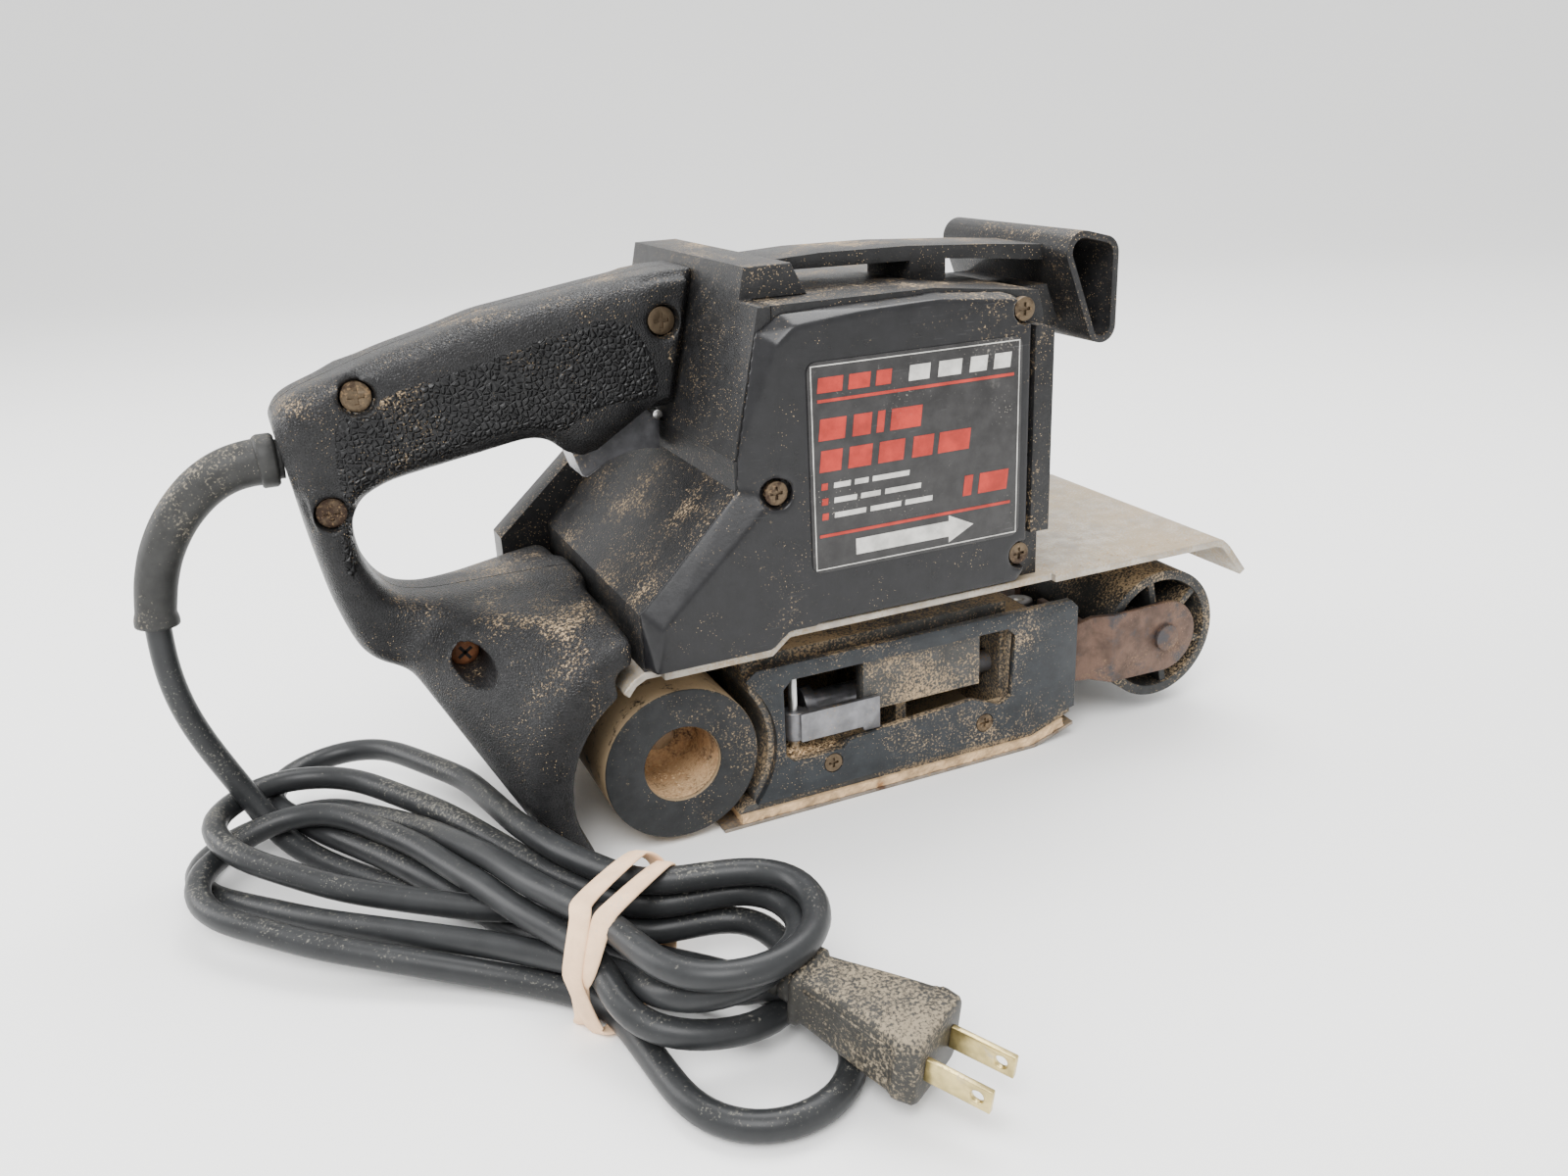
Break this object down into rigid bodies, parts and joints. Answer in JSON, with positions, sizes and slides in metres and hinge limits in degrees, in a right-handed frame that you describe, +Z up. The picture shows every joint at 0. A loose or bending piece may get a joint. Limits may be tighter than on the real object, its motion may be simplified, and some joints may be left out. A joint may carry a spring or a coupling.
{
  "type": "handheld belt sander",
  "caption": "Handheld belt sander with a looped rear handle, transverse motor, cork-backed sole, drive and front rollers, dust outlet and tied mains cord.",
  "frame": {"origin": "centre of the flat sole's underside", "axes": "+X forward, the way the tool's nose points; +Y to the tool's left; +Z up"},
  "size_m": [0.3586, 0.2601, 0.18],
  "materials": {
    "housing_plastic": "textured black with sawdust",
    "cover_plastic": "satin black",
    "grip_plastic": "grained black",
    "label_film": "printed film",
    "deck_metal": "dusty, worn",
    "frame_paint": "dusty dark paint",
    "bracket_paint": "dark satin paint",
    "casting": "rough cast",
    "bright_steel": "turned",
    "dull_steel": "dull zinc",
    "rusty_steel": "rusted",
    "shoe_steel": "worn",
    "cork": "torn cork",
    "roller_rubber": "dusty",
    "roller_metal": "dusty",
    "wheel_plastic": "worn",
    "lamination": "oiled",
    "winding": "enamelled copper",
    "copper": "turned copper",
    "carbon": "carbon",
    "brass": "tarnished",
    "cord_jacket": "satin grey black",
    "relief_rubber": "dusty",
    "band_rubber": "peach",
    "plug_plastic": "dusty",
    "blade_brass": "worn plating",
    "screw_steel": "dirty",
    "inner_plastic": "moulded",
    "wire_jacket": "insulated wire",
    "belt_rubber": "toothed belt"
  },
  "bodies": {
    "housing": {"motor_housing": "housing_plastic", "rear_block": "housing_plastic", "side_cover": "cover_plastic", "label_plate": "label_film", "belt_cover": "housing_plastic", "front_handle": "housing_plastic", "deck_plate": "deck_metal", "side_frame": "casting", "handle_right": "grip_plastic", "handle_left": "grip_plastic", "trigger_pin": "bright_steel", "trigger_spring": "bright_steel", "switch_body": "inner_plastic", "cord_clamp": "inner_plastic", "lead_wires": "wire_jacket", "strain_relief": "relief_rubber", "handle_screws": "screw_steel", "cover_screws": "screw_steel", "platen_screws": "screw_steel", "stator_core": "lamination", "field_coils": "winding", "motor_bearings": "bright_steel", "motor_end_plate": "casting", "brush_holders": "brass", "carbon_brushes": "carbon", "timing_belt": "belt_rubber", "drive_bearings": "bright_steel", "platen_frame": "frame_paint", "platen_bracket": "bracket_paint", "cork_pad": "cork", "shoe_plate": "shoe_steel", "lever_pin": "bright_steel", "tension_spring": "bright_steel", "cord_lead": "cord_jacket", "cord_hank": "cord_jacket", "cord_loop": "cord_jacket", "cord_tie": "band_rubber", "plug_body": "plug_plastic", "plug_blades": "blade_brass"},
    "armature": {"armature_shaft": "bright_steel", "armature_core": "lamination", "commutator": "copper", "cooling_fan": "inner_plastic", "small_pulley": "dull_steel"},
    "drive": {"drive_shaft": "bright_steel", "drive_roller_core": "roller_metal", "drive_roller_tread": "roller_rubber", "large_pulley": "dull_steel"},
    "trigger": {"trigger": "inner_plastic"},
    "lock_button": {"lock_button": "inner_plastic"},
    "lever": {"tension_lever": "dull_steel"},
    "carriage": {"slide_carriage": "dull_steel", "yoke_pin": "bright_steel"},
    "yoke": {"yoke": "rusty_steel", "idler_axle": "rusty_steel"},
    "idler": {"idler_wheel": "wheel_plastic"},
    "knob": {"tracking_knob": "inner_plastic"}
  },
  "joints": [
    {"name": "trigger_pull", "type": "hinge", "parent": "housing", "child": "trigger", "pos_m": [-0.057, 0.02, 0.129], "axis": [0, 1, 0], "range_deg": [0, 7], "stiffness_Nm_per_rad": 0.8, "springref_deg": -6.88, "deforming": ["trigger_spring"]},
    {"name": "lock_press", "type": "slide", "parent": "housing", "child": "lock_button", "axis": [0, -1, 0], "range_m": [0, 0.003], "stiffness_N_per_m": 500, "springref_m": -0.002},
    {"name": "motor_spin", "type": "hinge", "parent": "housing", "child": "armature", "pos_m": [0.002, 0, 0.117], "axis": [0, 1, 0], "continuous": true},
    {"name": "drive_spin", "type": "hinge", "parent": "housing", "child": "drive", "pos_m": [-0.072, 0, 0.028], "axis": [0, 1, 0], "continuous": true},
    {"name": "belt_release", "type": "slide", "parent": "housing", "child": "carriage", "axis": [1, 0, 0], "range_m": [-0.008, 0], "stiffness_N_per_m": 1500, "springref_m": 0.01, "deforming": ["tension_spring"]},
    {"name": "lever_swing", "type": "hinge", "parent": "housing", "child": "lever", "pos_m": [-0.0315, -0.0335, 0.03], "axis": [0, 0, 1], "range_deg": [-75.2, 0]},
    {"name": "yoke_tilt", "type": "hinge", "parent": "carriage", "child": "yoke", "pos_m": [0.0795, 0, 0.031], "axis": [0, 0, 1], "range_deg": [-2, 2]},
    {"name": "tracking_turn", "type": "hinge", "parent": "housing", "child": "knob", "pos_m": [0.056, 0.045, 0.03], "axis": [0, 1, 0], "range_deg": [-60, 60]},
    {"name": "idler_spin", "type": "hinge", "parent": "yoke", "child": "idler", "pos_m": [0.116, 0, 0.0315], "axis": [0, 1, 0], "continuous": true}
  ],
  "couplings": [
    {"joint": "drive_spin", "follows": "motor_spin", "ratio": 0.31818},
    {"joint": "lever_swing", "follows": "belt_release", "rad_per_m": 163.6},
    {"joint": "tracking_turn", "follows": "yoke_tilt", "ratio": 30}
  ]
}
